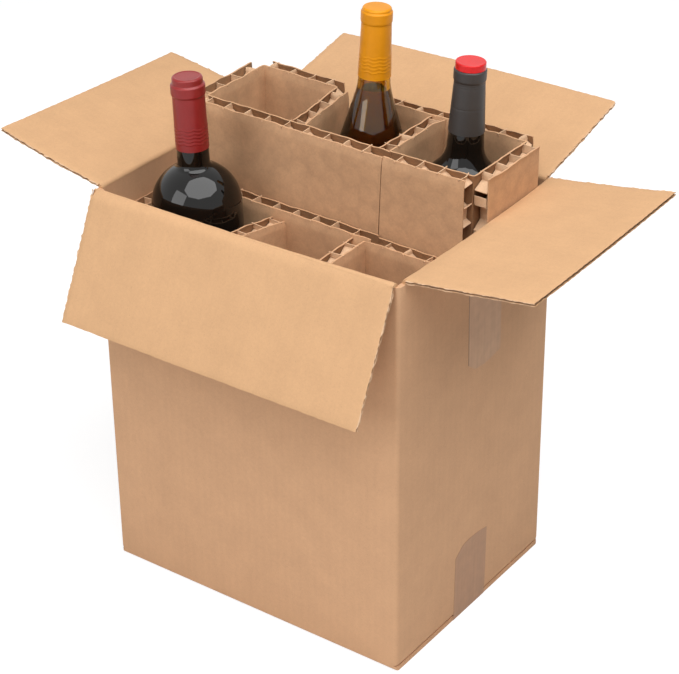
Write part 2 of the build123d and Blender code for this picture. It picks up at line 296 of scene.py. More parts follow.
def new_finish(name, roughness, specular):
    """A new material with its gloss set: the material, its nodes, its shader and where its points lie."""
    finish = bpy.data.materials.new(name)
    finish.use_nodes = True
    shader = finish.node_tree.nodes["Principled BSDF"]
    shader.inputs["Roughness"].default_value = roughness
    shader.inputs["Specular IOR Level"].default_value = specular
    return finish, finish.node_tree, shader, node(finish.node_tree, "ShaderNodeTexCoord").outputs["Object"]


def clouds(tree, place, scale, detail, rough=0.5):
    """Noise from 0 to 1: soft clouds or fine grain, by its scale."""
    return node(tree, "ShaderNodeTexNoise",
                {"Vector": place, "Scale": scale, "Detail": detail, "Roughness": rough}).outputs[0]


def ranged(tree, value, low, high, first, last, **settings):
    """Turns a number between low and high into one between first and last."""
    return node(tree, "ShaderNodeMapRange", dict(enumerate((value, low, high, first, last))), **settings).outputs[0]


def board_place(tree):
    """Where a point lies on the flat board: its run and its climb."""
    flat = node(tree, "ShaderNodeUVMap", uv_map="flat_board")
    split = node(tree, "ShaderNodeSeparateXYZ", {0: flat.outputs[0]})
    return split.outputs[0], split.outputs[1]


def lay_on(tree, shader, colour, tone, relief=None, strength=0.0, distance=0.0):
    """Lays a colour on the shader, lighter and darker by the tone, with a fine relief if wanted."""
    paint = node(tree, "ShaderNodeVectorMath", {0: colour, "Scale": tone}, operation="SCALE")
    tree.links.new(paint.outputs[0], shader.inputs["Base Color"])
    if relief is not None:
        bump = node(tree, "ShaderNodeBump", {"Height": relief, "Strength": strength, "Distance": distance})
        tree.links.new(bump.outputs[0], shader.inputs["Normal"])


def kraft(name, colour, flute=0.0, quilt=0.0, mottle=0.10, speck=0.10, lumps=38.0):
    """Kraft paper: cloudy tone, short fibres and specks, with the flutes or cells below showing faintly, in relief
    and in painted shading.
    """
    finish, tree, shader, place = new_finish(name, roughness=0.82, specular=0.25)
    cloud = clouds(tree, place, scale=lumps, detail=5.0, rough=0.62)
    fibre = clouds(tree, place, scale=520.0, detail=4.0, rough=0.7)
    fleck = clouds(tree, place, scale=1100.0, detail=2.0)
    tones_and_shading = [ranged(tree, cloud, 0.0, 1.0, 1 - mottle, 1 + mottle),
             ranged(tree, fibre, 0.0, 1.0, 1 - speck, 1 + speck),
             ranged(tree, fleck, 0.64, 0.74, 1.0, 0.86)]
    height = reckon(tree, "MULTIPLY", fibre, 0.12)
    if flute:
        run, _ = board_place(tree)
        wave = reckon(tree, "SINE", reckon(tree, "MULTIPLY", run, 2 * math.pi / (flute_pitch * MM)))
        # The board is painted lighter over each flute's crest and darker between them: painted shading that follows
        # the flutes' relief.
        tones_and_shading.append(ranged(tree, wave, -1.0, 1.0, 1 - 0.4 * flute, 1 + 0.4 * flute))
        height = reckon(tree, "MULTIPLY_ADD", wave, flute, height)
    if quilt:
        run, climb = board_place(tree)
        dimple = 0.0
        for across, up in cell_waves:
            way = reckon(tree, "MULTIPLY_ADD", climb, up / MM, reckon(tree, "MULTIPLY", run, across / MM))
            dimple = reckon(tree, "ADD", dimple, reckon(tree, "COSINE", way))
        # The cells' edges are painted darker and their middles lighter: painted shade in the creases between the
        # cells, over a matching relief.
        pad = ranged(tree, dimple, -1.3, -0.35, 0.0, 1.0, interpolation_type="SMOOTHSTEP")
        tones_and_shading.append(ranged(tree, pad, 0.0, 1.0, 1 - quilt, 1 + 0.4 * quilt))
        height = reckon(tree, "MULTIPLY_ADD", pad, 1.6 * quilt, height)
    tone = tones_and_shading[0]
    for part in tones_and_shading[1:]:
        tone = reckon(tree, "MULTIPLY", tone, part)
    lay_on(tree, shader, colour, tone, height, strength=0.35, distance=0.0012)
    return finish


def bulge(wall, from_corner, height):
    """How far a wall stands out: it lifts close to its corners and eases off at the rim and the foot."""
    eased = math.sin(math.pi * min(1.0, max(0.0, height / rim))) ** 0.6
    wave = 0.35 * ripple(from_corner, height, 0, 90.0, seed=len(wall))
    return (wall_bulge[wall] + wave) * (1 - math.exp(-from_corner / bulge_reach)) * eased


def wall_spots(corner_radius, inset):
    """Points round the tube with their outward direction, wall, distance from the nearest corner and run."""
    length, width = half_length - inset, half_width - inset
    sides = [("front", Vector((1, 0)), length, width), ("right", Vector((0, 1)), width, length),
             ("back", Vector((-1, 0)), length, width), ("left", Vector((0, -1)), width, length)]
    spots = []
    for wall, along, half, away in sides:
        outward = Vector((along.y, -along.x))
        straight = half - corner_radius
        count = math.ceil(2 * half_length / wall_step)
        for index in range(count + 1):
            run = straight * (2 * index / count - 1)
            spots.append((along * run + outward * away, outward, wall, straight - abs(run), run))
        centre = along * straight + outward * (away - corner_radius)
        for index in range(1, corner_steps):
            angle = math.pi / 2 * index / corner_steps
            direction = outward * math.cos(angle) + along * math.sin(angle)
            spots.append((centre + direction * corner_radius, direction, wall, 0.0, half + index))
    return spots


def foot_inset(outward, height):
    """The side walls end in a round fold above the long bottom flaps."""
    over = height - (board + 0.3)
    drop = max(0.0, min(fold_round, fold_round - over))
    return abs(outward.x) * (fold_round - math.sqrt(max(0.0, fold_round ** 2 - drop ** 2)))


def crease_board(wall, spot):
    """How thick the board is at a top crease. The front flap hangs far down, which crushes its crease flat."""
    if wall == "front":
        return crushed_crease + 2.7 * max(0.0, (spot.x + 20.0) / (half_length + 20.0)) ** 1.6
    return board - 1.8 * max(0.0, 1 - (spot.y / half_width) ** 2) if wall == "right" else board


def tube_grid(corner_radius, inset):
    """One face of the tube, as lines that climb from the foot to the rim."""
    climbs = foot_rows + steps_between(9.0, rim - 9.0, 8.0) + steps_between(rim - 7.5, rim, 1.5)
    grid = []
    for place, outward, wall, from_corner, run in wall_spots(corner_radius, inset):
        line = []
        for climb in climbs:
            out = bulge(wall, from_corner, climb)
            if inset:
                near_rim = max(0.0, 1 - (rim - climb) / 8.0) ** 2 * min(1.0, from_corner / 6.0)
                out += (board - crease_board(wall, place)) * near_rim
            else:
                out -= foot_inset(outward, climb)
            point = place + outward * out
            line.append(((point.x, point.y, climb), (run, climb)))
        grid.append(line)
    return grid


def in_corner(x, y):
    """Brings a point of the base inside the carton's rounded upright corners."""
    radius = corner_outer + 0.4
    over = Vector((abs(x) - half_length + radius, abs(y) - half_width + radius))
    if min(over) <= 0 or over.length <= radius:
        return x, y
    over *= radius / over.length
    return (math.copysign(half_length - radius + over.x, x), math.copysign(half_width - radius + over.y, y))


def box_sheet(shell, low, high, soft=0.0, turned=1):
    """A flat piece of board that lies level: its front edge is rounded if soft, and -1 turns it half round."""
    runs = steps_between(low[0], high[0], board_step)
    if soft:
        runs = [low[0], low[0] + 1.2, low[0] + 2.4] + runs[1:-1] + [high[0] - 2.4, high[0] - 1.2, high[0]]
    edge = [soft * (1 - math.cos(math.pi / 2 * index / 4)) for index in range(4)] if soft else []
    widths = [low[1] + part for part in edge] + steps_between(low[1] + soft, high[1], board_step)

    def underside(width):
        gap = max(0.0, low[1] + soft - width)
        return low[2] + soft - math.sqrt(max(0.0, soft ** 2 - gap ** 2))

    plan = [[(Vector(in_corner(run, width)) * turned, (run, width)) for width in widths] for run in runs]
    over = [[((*place, high[2]), spot) for place, spot in line] for line in plan]
    under = [[((*place, underside(spot[1])), spot) for place, spot in line] for line in plan]
    shell.sheet(over, under)


carton_paint = kraft("carton_kraft", body_colour, flute=0.018)
body_shell = Shell()
body_shell.sheet(tube_grid(corner_outer, 0.0), tube_grid(corner_inner, board), closed=True)
for turned in (1, -1):
    box_sheet(body_shell, (-half_length, -half_width, base_lift), (half_length, -base_seam, board), fold_round,
              turned)
fold_in = half_length - half_width
for side in (-1, 1):
    ends = sorted((side * (half_length - board), side * fold_in))
    box_sheet(body_shell, (ends[0], -half_width + board, board), (ends[1], half_width - board, 2 * board))
box_sheet(body_shell, (-half_length + board, half_width - board - tab_thick, tab_short),
          (-half_length + board + tab_width, half_width - board, rim - tab_short))
body_shell.piece("carton_walls", "carton", [carton_paint], ["carton_body"])

# Top flaps
# Each flap is the same board, cut free at its ends and along its edge. The flutes run out from the crease, so
# the edge shows them as open waves, and the ends are torn rough by the slotting knife.

flap_colour = (0.585, 0.348, 0.184)
fibre_colour = (0.640, 0.430, 0.270)
flute_colour = (0.330, 0.190, 0.105)
hinges = {joint["child"]: joint for joint in frame["joints"]}

# How each flap is bent, in millimetres: its free edge curls up, its middle bows, and one end twists more.
flap_warp = {
    "front_flap": {"curl": 1.2, "bow": 1.0, "twist": 0.6, "seed": 3},
    "right_flap": {"curl": 2.1, "bow": -0.8, "twist": 1.2, "seed": 5},
    "back_flap": {"curl": 1.2, "bow": 1.4, "twist": -1.0, "seed": 8},
    "left_flap": {"curl": 1.1, "bow": -1.0, "twist": 4.0, "seed": 11},
}

# How far a flap's ends were cut off their place, in millimetres: at the crease and at the free edge.
cut_askew = {"left_flap": {"low": (3.0, -9.0), "high": (4.0, -1.0)}}
square_cut = {"low": (0.0, 0.0), "high": (0.0, 0.0)}

edge_zone = 5.0
edge_crush = 0.5
end_crush = 0.85
flute_dent = 0.14
crease_zone = 9.0
middle_half = 0.15
fibre_half = 0.16
tear_reach = 1.5


class Fold:
    """The crease that a top flap turns on: its line, how far the flap stands open and where the flap ends."""

    def __init__(self, flap):
        joint = hinges[flap]
        self.start = Vector(joint["pos_m"]) / MM
        self.along = Vector(joint["axis"])
        self.inward = Vector((0, 0, 1)).cross(self.along)
        self.opening = -joint["range_deg"][0]
        self.warp, self.askew = flap_warp[flap], cut_askew.get(flap, square_cut)
        runs = [self.along.dot(corner.co) / MM for corner in frame["nodes"][flap].data.vertices]
        self.low, self.high = min(runs), max(runs)
        self.depth = half_width
        self.wall = flap.replace("_flap", "")

    def thickness(self, run):
        """How thick the board is at the crease."""
        return crease_board(self.wall, self.start + self.along * run)

    def cut_to(self, run, out):
        """The run of a spot on the flap as it was cut: its ends don't stand quite square to the crease."""
        share = (run - self.low) / (self.high - self.low)
        low, high = (root + (free - root) * out for root, free in self.askew.values())
        return run + low + (high - low) * share

    def turned(self, way, share=1.0):
        """A direction turned about the crease, by a share of how far the flap stands open."""
        return Matrix.Rotation(math.radians(self.opening * share), 3, self.along) @ way

    def at(self, run, depth, lift):
        """A point of the flap: along the crease, out from it, and up from the flap's outer face."""
        across = (run - self.low) / (self.high - self.low) - 0.5
        out = depth / self.depth
        lift += out ** 2 * (self.warp["curl"] + 2 * self.warp["twist"] * across)
        lift += self.warp["bow"] * (1 - 4 * across ** 2) * out
        upright = self.inward * lift + Vector((0, 0, depth))
        return self.start + self.along * self.cut_to(run, out) + self.turned(upright)


def flap_liner(shell, fold, lift, top):
    """One of the flap's two papers. The board is crushed along its free edge, at its ends and at its crease."""
    seed = fold.warp["seed"] + (0.5 if top else 0.0)
    runs = [fold.low, fold.low + 1.2] + steps_between(fold.low + 2.5, fold.high - 2.5, 2.5)
    runs += [fold.high - 1.2, fold.high]
    depths = steps_between(0.0, fold.depth - edge_zone, 3.0) + [fold.depth - back for back in (3.5, 2.2, 1.0, 0.0)]
    grids = []
    for level in (lift, lift + paper):
        grid = []
        for run in runs:
            line = []
            for depth in depths:
                near = max(0.0, 1 - (fold.depth - depth) / edge_zone)
                dent = flute_dent * near * math.sin(2 * math.pi * run / flute_pitch)
                end = 0.35 * near * ripple(run, 0, 0, 6.0, seed)
                ends = min(run - fold.low, fold.high - run)
                ragged = 0.45 * ripple(depth, 0, 0, 2.6, seed + 3) if ends < 0.01 else 0.0
                side = 1 if run > 0 else -1
                crushed = max(edge_crush * near ** 2, end_crush * max(0.0, 1 - ends / edge_zone) ** 2) + dent
                if top:
                    crushed += (board - fold.thickness(run)) * max(0.0, 1 - depth / crease_zone) ** 2
                squeezed = level + (-crushed if top else crushed)
                line.append((fold.at(run + side * ragged, depth + end, squeezed), (run, depth)))
            grid.append(line)
        grids.append(grid)
    shell.sheet(grids[1], grids[0], 0)


def flute_edge(shell, fold):
    """The waved middle paper, where the free edge shows it."""
    middle, swing = board / 2, (board - 2 * paper) / 2 - middle_half
    seed = fold.warp["seed"]
    grids = []
    for offset in (-middle_half, middle_half):
        grid = []
        for run in steps_between(fold.low + 0.6, fold.high - 0.6, flute_pitch / 10):
            crush = 1 - 0.25 * max(0.0, ripple(run, 0, 0, 22.0, seed))
            wave = swing * crush * math.sin(2 * math.pi * run / flute_pitch)
            cut = fold.depth - 0.5 + 0.5 * ripple(run, 0, 0, 5.0, seed)
            grid.append([(fold.at(run, depth, middle + wave * share + offset), (run, depth))
                         for depth, share in ((fold.depth - 16.0, 1.0), (fold.depth - 5.0, 0.95), (cut, 0.62))])
        grids.append(grid)
    shell.sheet(grids[1], grids[0], 1)


def torn_end(shell, fold, side):
    """A slotted end: the middle paper stands back between the liners, and fibres hang out of the cut."""
    seed = fold.warp["seed"] + 7 * side
    end = fold.high if side > 0 else fold.low
    low_end = paper + 0.6
    grids = []
    for thick in (0.0, 0.35):
        grid = []
        for depth in steps_between(0.5, fold.depth - 0.8, 1.6):
            recess = 0.7 + 0.6 * ripple(depth, 0, 0, 7.0, seed) + thick
            wavy = 0.7 * ripple(depth, 0, 0, 11.0, seed + 2)
            grid.append([(fold.at(end - side * (recess + 0.5 * bend), depth, lift), (end, depth))
                         for lift, bend in ((low_end, 0.0), (board / 2 + 0.5 * wavy, 1.0), (board - low_end, 0.2))])
        grids.append(grid)
    shell.sheet(grids[0], grids[1], 1)
    for lift, strength in ((board - low_end, 1.0), (low_end, 0.7)):
        grids = []
        for thick in (-fibre_half, fibre_half):
            grid = []
            for depth in steps_between(0.2, fold.depth - 0.2, 0.75):
                tear = strength * max(0.02, 0.45 + tear_reach * ripple(depth, lift, 0, 3.4, seed + 1))
                droop = 0.9 * ripple(depth, lift, 0, 5.5, seed + 4)
                level = lift + thick
                grid.append([(fold.at(end - side * 0.3, depth, level), (end, depth)),
                             (fold.at(end + side * 0.5 * tear, depth, level - 0.3 * droop), (end, depth)),
                             (fold.at(end + side * tear, depth, level - droop), (end, depth))])
            grids.append(grid)
        shell.sheet(grids[1], grids[0], 2)


flap_paint = kraft("flap_kraft", flap_colour, flute=0.012)
flute_paint = kraft("flute_paper", flute_colour, speck=0.2)
fibre_paint = kraft("torn_fibres", fibre_colour, speck=0.25)
folds = {flap: Fold(flap) for flap in hinges}
for flap, fold in folds.items():
    flap_shell = Shell()
    flap_liner(flap_shell, fold, 0.0, top=False)
    flap_liner(flap_shell, fold, board - paper, top=True)
    flute_edge(flap_shell, fold)
    torn_end(flap_shell, fold, -1)
    torn_end(flap_shell, fold, 1)
    flap_shell.piece(flap + "_board", flap, [flap_paint, flute_paint, fibre_paint], [flap])

# Creases of the top flaps
# Along each score line the board is crushed and bends: the inner paper runs over the rim in a soft bead, from
# the wall's inner face to the flap's.

bead_steps = 12
bead_swell = 0.22
bead_core = 0.05


def crease_bead(fold, name):
    """The bent stretch of board along one crease, closed round its hinge line."""
    shell = Shell()
    seed = fold.warp["seed"]
    inner, outer = [], []
    for run in steps_between(fold.low, fold.high, 3.0):
        arc, line = [], []
        for index in range(bead_steps + 1):
            share = index / bead_steps
            swell = bead_swell * math.sin(math.pi * share) * (1 + ripple(run, share, 0, 14.0, seed))
            edge = max(0.0, 1 - min(run - fold.low, fold.high - run) / 3.0)
            radius = fold.thickness(run) + swell - 0.5 * edge * math.sin(math.pi * share)
            turned = fold.turned(fold.inward * radius, share)
            foot = fold.start + fold.along * fold.cut_to(run, 0.0)
            arc.append((foot + turned, (run, radius * share)))
            line.append((foot + turned * bead_core, (run, 0.0)))
        inner.append(arc)
        outer.append(line)
    shell.sheet(inner, outer, 0)
    bead = shell.piece(name, None, [flap_paint], sharp=60.0)
    finish = fold.start + fold.turned(fold.inward * board)
    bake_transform(bead)


for flap, fold in folds.items():
    crease_bead(fold, flap.replace("_flap", "_crease"))

# Sealing tape
# Brown polypropylene tape: a strip along the bottom seam, turned up on both side walls and torn off in a
# shallow curve, and the end of the slit top strip, still stuck down the right wall, with a painted shadow along
# its left edge.

tape_width = 48.0
tape_thick = 0.16
tape_middle = -3.0
tape_climb = 70.0
tail_middle = 8.8
tail_top = rim - 2.0
tail_length = 116.0
tear_curve = 3.0
corner_cut = 6.0
corner_share = 0.22
film_step = 2.0
tape_colour = (0.400, 0.212, 0.110)
tail_colour = (0.545, 0.325, 0.190)
# Width of the painted shadow along the slit tape's left edge, in millimetres.
edge_shadow_width = 1.6


def side_tape(shell, side, middle, low, high, free_top, seed):
    """A stretch of tape on a side wall. Its free end is torn, with one corner rounded off."""
    wall = "right" if side > 0 else "left"
    grids = []
    for thick in (0.02, tape_thick):
        grid = []
        for across in steps_between(-tape_width / 2, tape_width / 2, film_step):
            share = across / tape_width + 0.5
            reach = tear_curve * math.sin(math.pi * share)
            reach -= corner_cut * max(0.0, corner_share - share) / corner_share
            reach += 0.35 * ripple(across, 0, 0, 2.2, seed)
            line = []
            for climb in steps_between(low, high, 6.0):
                end = (climb - low) / (high - low)
                rise = reach * end if free_top else -reach * (1 - end)
                height = climb + rise
                depth = middle + across
                out = bulge(wall, half_width - corner_outer - abs(depth), height) + thick
                out += 0.12 * max(0.0, ripple(across, climb, 0, 8.0, seed + 2))
                line.append(((side * (half_length + out), depth, height), (depth, height)))
            grid.append(line)
        grids.append(grid)
    shell.sheet(grids[1], grids[0], 0)


def tape_finish(name, colour, roughness, shadow_edge=0.0):
    """Brown film over kraft board: a little gloss, fine streaks and trapped air, and a painted shadow along its left
    edge if wanted, as under a lifted edge.
    """
    finish, tree, shader, place = new_finish(name, roughness, specular=0.25)
    drawn = node(tree, "ShaderNodeMapping", {"Vector": place, "Scale": (300.0, 300.0, 12.0)}).outputs[0]
    streak = clouds(tree, drawn, scale=1.0, detail=3.0)
    both = reckon(tree, "ADD", streak, clouds(tree, place, scale=120.0, detail=3.0))
    tone = ranged(tree, both, 0.6, 1.4, 0.90, 1.10)
    # A band at the left edge is darkened: a painted shadow, as under a lifted tape edge.
    if shadow_edge:
        run, _ = board_place(tree)
        dark = ranged(tree, run, shadow_edge * MM, (shadow_edge + edge_shadow_width) * MM, 0.55, 1.0)
        tone = reckon(tree, "MULTIPLY", tone, dark)
    lay_on(tree, shader, colour, tone, both, strength=0.15, distance=0.0006)
    return finish


tape_paint = tape_finish("brown_tape_film", tape_colour, 0.42)
tail_paint = tape_finish("slit_tape_film", tail_colour, 0.5, shadow_edge=tail_middle - tape_width / 2)
tape_shell = Shell()
side_tape(tape_shell, 1, tape_middle, 0.0, tape_climb, True, 4)
side_tape(tape_shell, -1, tape_middle, 0.0, tape_climb, True, 6)
box_sheet(tape_shell, (-half_length, tape_middle - tape_width / 2, 0.0),
          (half_length, tape_middle + tape_width / 2, 0.12))
tape_shell.piece("bottom_tape_strip", "carton", [tape_paint], ["bottom_tape"])
tail_shell = Shell()
side_tape(tail_shell, 1, tail_middle, tail_top - tail_length, tail_top, False, 9)
tail_shell.piece("top_tape_end", "carton", [tail_paint], ["top_tape_tail"])

# Honeycomb inserts
# Each insert is two strips of honeycomb paperboard. A strip is cut through its outer liner and core at each
# fold, and bent on its inner liner. The cut edges show thin paper cell walls that cross between the liners.
# The liners' faces towards the core carry painted shade, as dark as the shadow deep in the cells.

core = 13.0
liner_thick = 0.8
cell_pitch = 20.0
cell_side = cell_pitch / math.sqrt(3)
row_pitch = 1.5 * cell_side
wall_thick = 0.8
insert_height = 322.0
cell_depth = 76.0
insert_depth = 2 * core + cell_depth
fold_gap = 0.25
short_end = 18.0
front_cells = (83.0, 75.2, 77.3)
rear_cells = (75.4, 83.3, 76.8)
insert_length = 4 * core + sum(front_cells)
insert_left = -insert_length / 2
fine_zone = 24.0
splay = 1.8
splay_zone = 8.0
liner_bend = 0.8
wall_start = 1.25 * liner_thick
cut_bend = 3.4
cell_wander = 0.8
top_rows = 3
seam_x = 32.0
seam_slant = 0.058
seam_depth = 85.0
seam_reach = 120.0
edge_slope = 0.6
rim_wave = 0.9
end_flare = -1.5
curl_zone = 16.0
honeycomb_colour = (0.575, 0.337, 0.187)
core_colour = (0.680, 0.445, 0.275)
# The pocket colour is painted shade: it is darker than the paper and stands for the shadow deep inside the cells.
pocket_shade_colour = (0.300, 0.165, 0.085)

# How each strip has given way, in millimetres: its divider's root and free end have swung aside, that free end
# has sunk, and the rim stands up by so much at the carton's left and right.
strip_bends = {
    "front_insert_left": {"swing": (0.0, 4.0), "sink": 8.0, "tilt": (1.2, -2.8)},
    "front_insert_right": {"swing": (5.0, 4.0), "sink": 0.0, "tilt": (0.5, -6.0)},
    "rear_insert_left": {"swing": (0.0, 12.0), "sink": 0.0, "tilt": (4.6, -1.0)},
    "rear_insert_right": {"swing": (0.0, 0.0), "sink": 0.0, "tilt": (2.5, 0.7)},
}

# Three waves, turned by 60 degrees from one to the next, that swell over the middle of each cell.
wave_number = 4 * math.pi / (math.sqrt(3) * cell_pitch)
cell_waves = [(wave_number * math.sin(math.radians(turn)), wave_number * math.cos(math.radians(turn)))
              for turn in (90, 150, 210)]


def splayed(below_top):
    """How far a liner stands off its core near the cut top edge."""
    return splay * max(0.0, 1 - below_top / splay_zone) ** 2


def sunk(below_top, depth):
    """How far the cut top edge is pressed down: most at the outer liner, at depth 0."""
    return edge_slope * max(0.0, 1 - below_top / fine_zone) * (1 - depth / core)


class Strip:
    """One folded strip: it lines its end cell, and its long panel runs on over the middle one."""

    def __init__(self, name, cells, insert_y, low, turned, mirrored, short, seed):
        self.name, self.low, self.top, self.seed = name, low, low + insert_height, seed
        self.insert_y, self.turned, self.mirrored = insert_y, turned, mirrored
        self.bends = strip_bends[name]
        first, second = cells
        self.near, self.far = core, core + cell_depth
        self.divider = core + first
        self.end = self.near + 2 * core + first + second - short - 2 * fold_gap

    def place(self, x, y, z, divider=False):
        """From the strip's own frame, whose corner is the insert's, to the carton's, with its small bends.

        The divider swings aside and its free end sinks, the rim isn't level, and the rear seam slants.
        """
        if divider:
            root, free = self.bends["swing"]
            share = (self.far - y) / cell_depth
            x += root + (free - root) * share
            z -= self.bends["sink"] * max(0.0, share) ** 2 * max(0.0, 1 - (self.top - z) / fine_zone)
        if self.turned:
            x, y = insert_length - x, insert_depth - y
        if self.mirrored:
            y = insert_depth - y
        x, y = insert_left + x, self.insert_y + y
        if not self.mirrored:
            by_seam = max(0.0, 1 - abs(x - seam_x) / seam_reach)
            x -= seam_slant * min(seam_depth, self.top - z) * by_seam
        left, right = self.bends["tilt"]
        tilt = left + (right - left) * (x - insert_left) / insert_length
        return (x, y, z + tilt * max(0.0, (z - self.low) / insert_height))

    def inner_path(self):
        """The inner liner's way round the cell: long panel, side, short panel and divider."""
        return [(self.end, self.near), (core, self.near), (core, self.far), (self.divider, self.far),
                (self.divider, self.near + 0.6)]

    def panels(self):
        """Each panel's start, way along, way across from outer to inner liner, length and open ends."""
        gap = fold_gap
        return [
            ((self.near + gap, 0), (1, 0), (0, 1), self.end - self.near - gap, True),
            ((0, self.near + gap), (0, 1), (1, 0), cell_depth - 2 * gap, True),
            ((core + gap, self.far + core), (1, 0), (0, -1), self.divider - core - 2 * gap, True),
            ((self.divider + core, self.near + gap), (0, 1), (-1, 0), cell_depth - 2 * gap, False),
        ]


def along_path(points, radius, step):
    """Points of a plan path with its corners rounded, each with its direction and run."""
    way = []
    corners = [Vector(point) for point in points]
    for index, corner in enumerate(corners):
        if 0 < index < len(corners) - 1:
            back = (corners[index - 1] - corner).normalized() * radius
            ahead = (corners[index + 1] - corner).normalized() * radius
            centre = corner + back + ahead
            for part in range(5):
                angle = math.pi / 2 * part / 4
                way.append(centre - ahead * math.cos(angle) - back * math.sin(angle))
        else:
            way.append(corner)
    fine = []
    for start, end in zip(way, way[1:]):
        count = max(1, math.ceil((end - start).length / step))
        fine += [start.lerp(end, index / count) for index in range(count)]
    fine.append(way[-1])
    run, spots = 0.0, []
    for index, point in enumerate(fine):
        before = fine[max(0, index - 1)]
        after = fine[min(len(fine) - 1, index + 1)]
        run += (point - before).length
        spots.append((point, (after - before).normalized(), run))
    return spots


def liner_sheet(shell, strip, path, turn, seed, depth, flare=0.0, leans=True):
    """A liner that follows a plan path, a little uneven, with a wavy cut edge that splays at the top.

    The turn, 1 or -1, says on which side of the path the core lies, and the depth how far in the liner is.
    """
    climbs = steps_between(strip.low, strip.top - fine_zone, 14.0)
    climbs += steps_between(strip.top - fine_zone + 3, strip.top, 3.0)
    spots = along_path(path, liner_bend, 4.0)
    total = spots[-1][2]
    grids = []
    for thick in (0.0, liner_thick):
        grid = []
        for point, heading, run in spots:
            side = Vector((-heading.y, heading.x)) * turn
            divider = abs(heading.y) > 0.7 and point.x > strip.far / 2
            curl = max(0.0, 1 - (total - run) / curl_zone) ** 2 * flare
            line = []
            for climb in climbs:
                edge = max(0.0, 1 - (strip.top - climb) / fine_zone)
                wave = rim_wave * edge ** 2 * ripple(run, seed, 0, 13.0, seed)
                worn = 0.6 * max(0, ripple(run, 3, seed, 31.0))
                rise = edge * (rim_wave * ripple(run, seed, 5, 10.0, seed) - worn)
                away = 0.35 * ripple(run, climb, 0, 55.0, seed) + wave + curl * (0.4 + 0.6 * edge)
                below_top = strip.top - climb
                away += splayed(below_top) if leans else 0.0
                deep = thick * (1 + 0.9 * max(0.0, 1 - below_top / 3.0))
                level = climb + rise - sunk(below_top, depth)
                line.append((strip.place(*(point + side * (away - deep)), level, divider), (run, climb)))
            grid.append(line)
        grids.append(grid)
    # The faces towards the core take the third finish, the painted shade of the cells' dark insides.
    shell.sheet(grids[0], grids[1], 0, front_mark=2)


def paper_wall(shell, strip, panel, start, end, seed):
    """One thin cell wall between the liners, a little buckled, and bent over where it is cut at the top."""
    origin, along, across = (Vector(part) for part in panel[:3])
    divider = along.y > 0 and origin.x > strip.far / 2
    slope = Vector(end) - Vector(start)
    normal = Vector((-slope.y, slope.x)).normalized()
    bent = cut_bend * noise.noise(Vector((seed, 7.3, 1.9))) * max(0.0, 1 - (insert_height - end[1]) / 2.0)
    grids = []
    for thick in (-wall_thick / 2, wall_thick / 2):
        grid = []
        for share in (0.0, 0.5, 0.75, 1.0):
            line = []
            for part in range(5):
                buckle = 0.75 * math.sin(math.pi * part / 4) * noise.noise(Vector((seed, share, part * 0.6)))
                spot = Vector(start) + slope * share + normal * (thick + buckle)
                spot.x += bent * max(0.0, 2 * share - 1) ** 2 * math.sin(math.pi * part / 4)
                off = splayed(insert_height - spot.y)
                low = wall_start - (off if origin.x > 1 else 0.0)
                depth = low + (core - wall_start + off - low) * part / 4
                at = origin + along * spot.x + across * depth
                level = strip.low + spot.y - sunk(insert_height - spot.y, depth)
                line.append((strip.place(*at, level, divider), (spot.x + depth, spot.y)))
            grid.append(line)
        grids.append(grid)
    shell.sheet(grids[1], grids[0], 1)


def clipped(start, end, low, high):
    """The part of a cell wall that lies between two limits, or nothing."""
    for axis in (0, 1):
        for limit, keep_above in ((low[axis], True), (high[axis], False)):
            inside = [(p[axis] >= limit) == keep_above or p[axis] == limit for p in (start, end)]
            if not any(inside):
                return None
            if not all(inside):
                share = (limit - start[axis]) / (end[axis] - start[axis])
                cut = tuple(a + (b - a) * share for a, b in zip(start, end))
                start, end = (start, cut) if inside[0] else (cut, end)
    return start, end


def cell_walls(shell, strip, panel, chance):
    """The cell walls of a panel's top rows, and of the columns at its open ends."""
    length, open_ends = panel[3], panel[4]
    phase = chance.uniform(-0.2, 0.2) * row_pitch
    rows = math.ceil(insert_height / row_pitch) + 1
    columns = math.ceil(length / cell_pitch) + 1
    for row in range(-1, rows):
        middle = insert_height - phase - row * row_pitch
        for column in range(-1, columns + 1):
            run = (column + (0.25 if row % 2 == 0 else 0.75)) * cell_pitch
            near_end = open_ends and (run < cell_pitch or run > length - cell_pitch)
            if row >= top_rows and not near_end:
                continue
            lean = [chance.uniform(-cell_wander, cell_wander) for _ in range(3)]
            foot, head = middle - cell_side / 2, middle + cell_side / 2
            walls = [((run, foot), (run + lean[0], head)),
                     ((run + lean[0], head), (run + cell_pitch / 2, middle + cell_side + lean[1])),
                     ((run + lean[0], head), (run - cell_pitch / 2, middle + cell_side + lean[2]))]
            for start, end in walls:
                kept = clipped(start, end, (0.1, 0.5), (length - 0.1, insert_height + chance.uniform(-0.9, 0.5)))
                if kept and (Vector(kept[0]) - Vector(kept[1])).length > 0.8:
                    paper_wall(shell, strip, panel, *kept, chance.uniform(0, 90))


def outer_paths(strip):
    """The outer liner's flat stretches, each with its turn and whether it leans out at the top."""
    gap = fold_gap
    far = strip.far + core
    return [
        ([(strip.near + gap, 0), (strip.end, 0)], 1, True),
        ([(0, strip.far - gap), (0, strip.near + gap)], 1, False),
        ([(strip.divider - gap, far), (core + gap, far)], 1, True),
        ([(strip.divider + core, strip.far - gap), (strip.divider + core, strip.near + 0.6)], -1, True),
    ]


